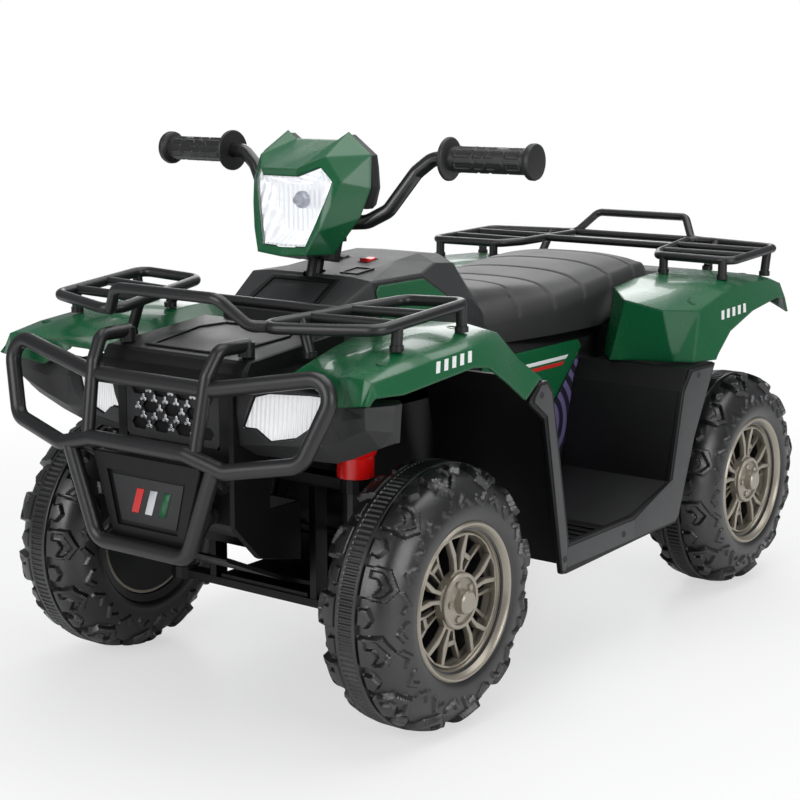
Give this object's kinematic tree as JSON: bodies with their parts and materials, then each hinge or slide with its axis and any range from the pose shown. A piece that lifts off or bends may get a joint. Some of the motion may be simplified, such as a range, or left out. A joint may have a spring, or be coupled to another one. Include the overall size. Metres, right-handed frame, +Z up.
{
  "type": "electric ride-on quad",
  "caption": "Child's battery ride-on quad with faceted body panels, chevron-lug tyres on spoked rims, tube bumper and racks, foot wells, steered front wheels and a padded seat.",
  "frame": {"origin": "middle of the overall footprint, on the floor under the tyres", "axes": "+X to the rider's left, +Y from the front bumper to the rear rack, +Z up"},
  "size_m": [0.6056, 1.1433, 0.671],
  "materials": {
    "tyre_black": "matte moulded rubber",
    "bronze_rim": "satin metallic bronze grey",
    "satin_black": "satin moulded",
    "axle_steel": "plain",
    "red_plastic": "gloss",
    "gloss_green": "high gloss",
    "textured_grey": "fine texture",
    "grip_rubber": "matte",
    "clear_lens": "clear gloss",
    "reflector_silver": "bright metallised",
    "lamp_silver": "fluted gloss",
    "seat_vinyl": "matte vinyl over foam"
  },
  "bodies": {
    "chassis": {"rear_axle": "axle_steel", "gear_motor_left": "textured_grey", "gear_motor_right": "textured_grey", "battery": "textured_grey", "control_box": "textured_grey", "grille": "textured_grey", "front_cheek_left": "textured_grey", "front_cheek_right": "textured_grey", "strut_cap_left": "red_plastic", "strut_cap_right": "red_plastic", "front_subframe": "satin_black", "chassis_tub": "satin_black", "centre_body": "satin_black", "foot_well_left": "satin_black", "foot_well_right": "satin_black", "front_body": "satin_black", "front_bumper": "satin_black", "bumper_plate": "satin_black", "rear_deck": "satin_black", "dash_cover": "satin_black", "front_rack": "satin_black", "rear_rack": "satin_black", "side_panel_left": "gloss_green", "side_panel_right": "gloss_green", "front_fender_left": "gloss_green", "front_fender_right": "gloss_green", "rear_fender_left": "gloss_green", "rear_fender_right": "gloss_green", "tank_panel_left": "gloss_green", "tank_panel_right": "gloss_green", "headlamp_left": "lamp_silver", "headlamp_right": "lamp_silver", "seat": "seat_vinyl"},
    "steering": {"steering_column": "satin_black", "handlebar": "satin_black", "grip_left": "grip_rubber", "grip_right": "grip_rubber", "head_mask": "gloss_green", "head_housing": "satin_black", "head_lens": "clear_lens", "head_reflector": "reflector_silver"},
    "knuckle_left": {"knuckle_left": "axle_steel"},
    "knuckle_right": {"knuckle_right": "axle_steel"},
    "tie_rod": {"tie_rod": "axle_steel"},
    "power_rocker": {"power_switch": "red_plastic"},
    "direction_rocker": {"direction_switch": "textured_grey"},
    "accelerator": {"accelerator_pedal": "textured_grey"},
    "wheel_front_left": {"tyre_front_left": "tyre_black", "rim_front_left": "bronze_rim", "hub_cap_front_left": "bronze_rim"},
    "wheel_front_right": {"tyre_front_right": "tyre_black", "rim_front_right": "bronze_rim", "hub_cap_front_right": "bronze_rim"},
    "wheel_rear_left": {"tyre_rear_left": "tyre_black", "rim_rear_left": "bronze_rim", "hub_cap_rear_left": "bronze_rim"},
    "wheel_rear_right": {"tyre_rear_right": "tyre_black", "rim_rear_right": "bronze_rim", "hub_cap_rear_right": "bronze_rim"}
  },
  "joints": [
    {"name": "steer", "type": "hinge", "parent": "chassis", "child": "steering", "pos_m": [0, -0.31953, 0.25], "axis": [0, 0.2588, 0.9659], "range_deg": [-30, 30]},
    {"name": "tie_rod_slide", "type": "slide", "parent": "chassis", "child": "tie_rod", "axis": [1, 0, 0], "range_m": [-0.0162, 0.0162]},
    {"name": "knuckle_left_steer", "type": "hinge", "parent": "chassis", "child": "knuckle_left", "pos_m": [0.139, -0.34818, 0.155], "axis": [0, 0, 1], "range_deg": [-20.5, 20.5]},
    {"name": "knuckle_right_steer", "type": "hinge", "parent": "chassis", "child": "knuckle_right", "pos_m": [-0.139, -0.34818, 0.155], "axis": [0, 0, 1], "range_deg": [-20.5, 20.5]},
    {"name": "front_left_spin", "type": "hinge", "parent": "knuckle_left", "child": "wheel_front_left", "pos_m": [0.245, -0.34818, 0.155], "axis": [1, 0, 0], "continuous": true},
    {"name": "front_right_spin", "type": "hinge", "parent": "knuckle_right", "child": "wheel_front_right", "pos_m": [-0.245, -0.34818, 0.155], "axis": [1, 0, 0], "continuous": true},
    {"name": "rear_left_spin", "type": "hinge", "parent": "chassis", "child": "wheel_rear_left", "pos_m": [0.245, 0.38183, 0.155], "axis": [1, 0, 0], "continuous": true},
    {"name": "rear_right_spin", "type": "hinge", "parent": "chassis", "child": "wheel_rear_right", "pos_m": [-0.245, 0.38183, 0.155], "axis": [1, 0, 0], "continuous": true},
    {"name": "power_rock", "type": "hinge", "parent": "chassis", "child": "power_rocker", "pos_m": [0.022, -0.17367, 0.505], "axis": [1, 0, 0], "range_deg": [-8, 8]},
    {"name": "direction_rock", "type": "hinge", "parent": "chassis", "child": "direction_rocker", "pos_m": [-0.022, -0.17367, 0.505], "axis": [1, 0, 0], "range_deg": [-8, 8]},
    {"name": "accelerator_press", "type": "hinge", "parent": "chassis", "child": "accelerator", "pos_m": [-0.205, -0.02567, 0.1548], "axis": [1, 0, 0], "range_deg": [0, 12], "stiffness_Nm_per_rad": 0.6, "springref_deg": -8.59}
  ],
  "couplings": [
    {"joint": "knuckle_left_steer", "follows": "steer", "ratio": 0.6667},
    {"joint": "knuckle_right_steer", "follows": "steer", "ratio": 0.6667},
    {"joint": "tie_rod_slide", "follows": "steer", "m_per_rad": -0.02941}
  ]
}
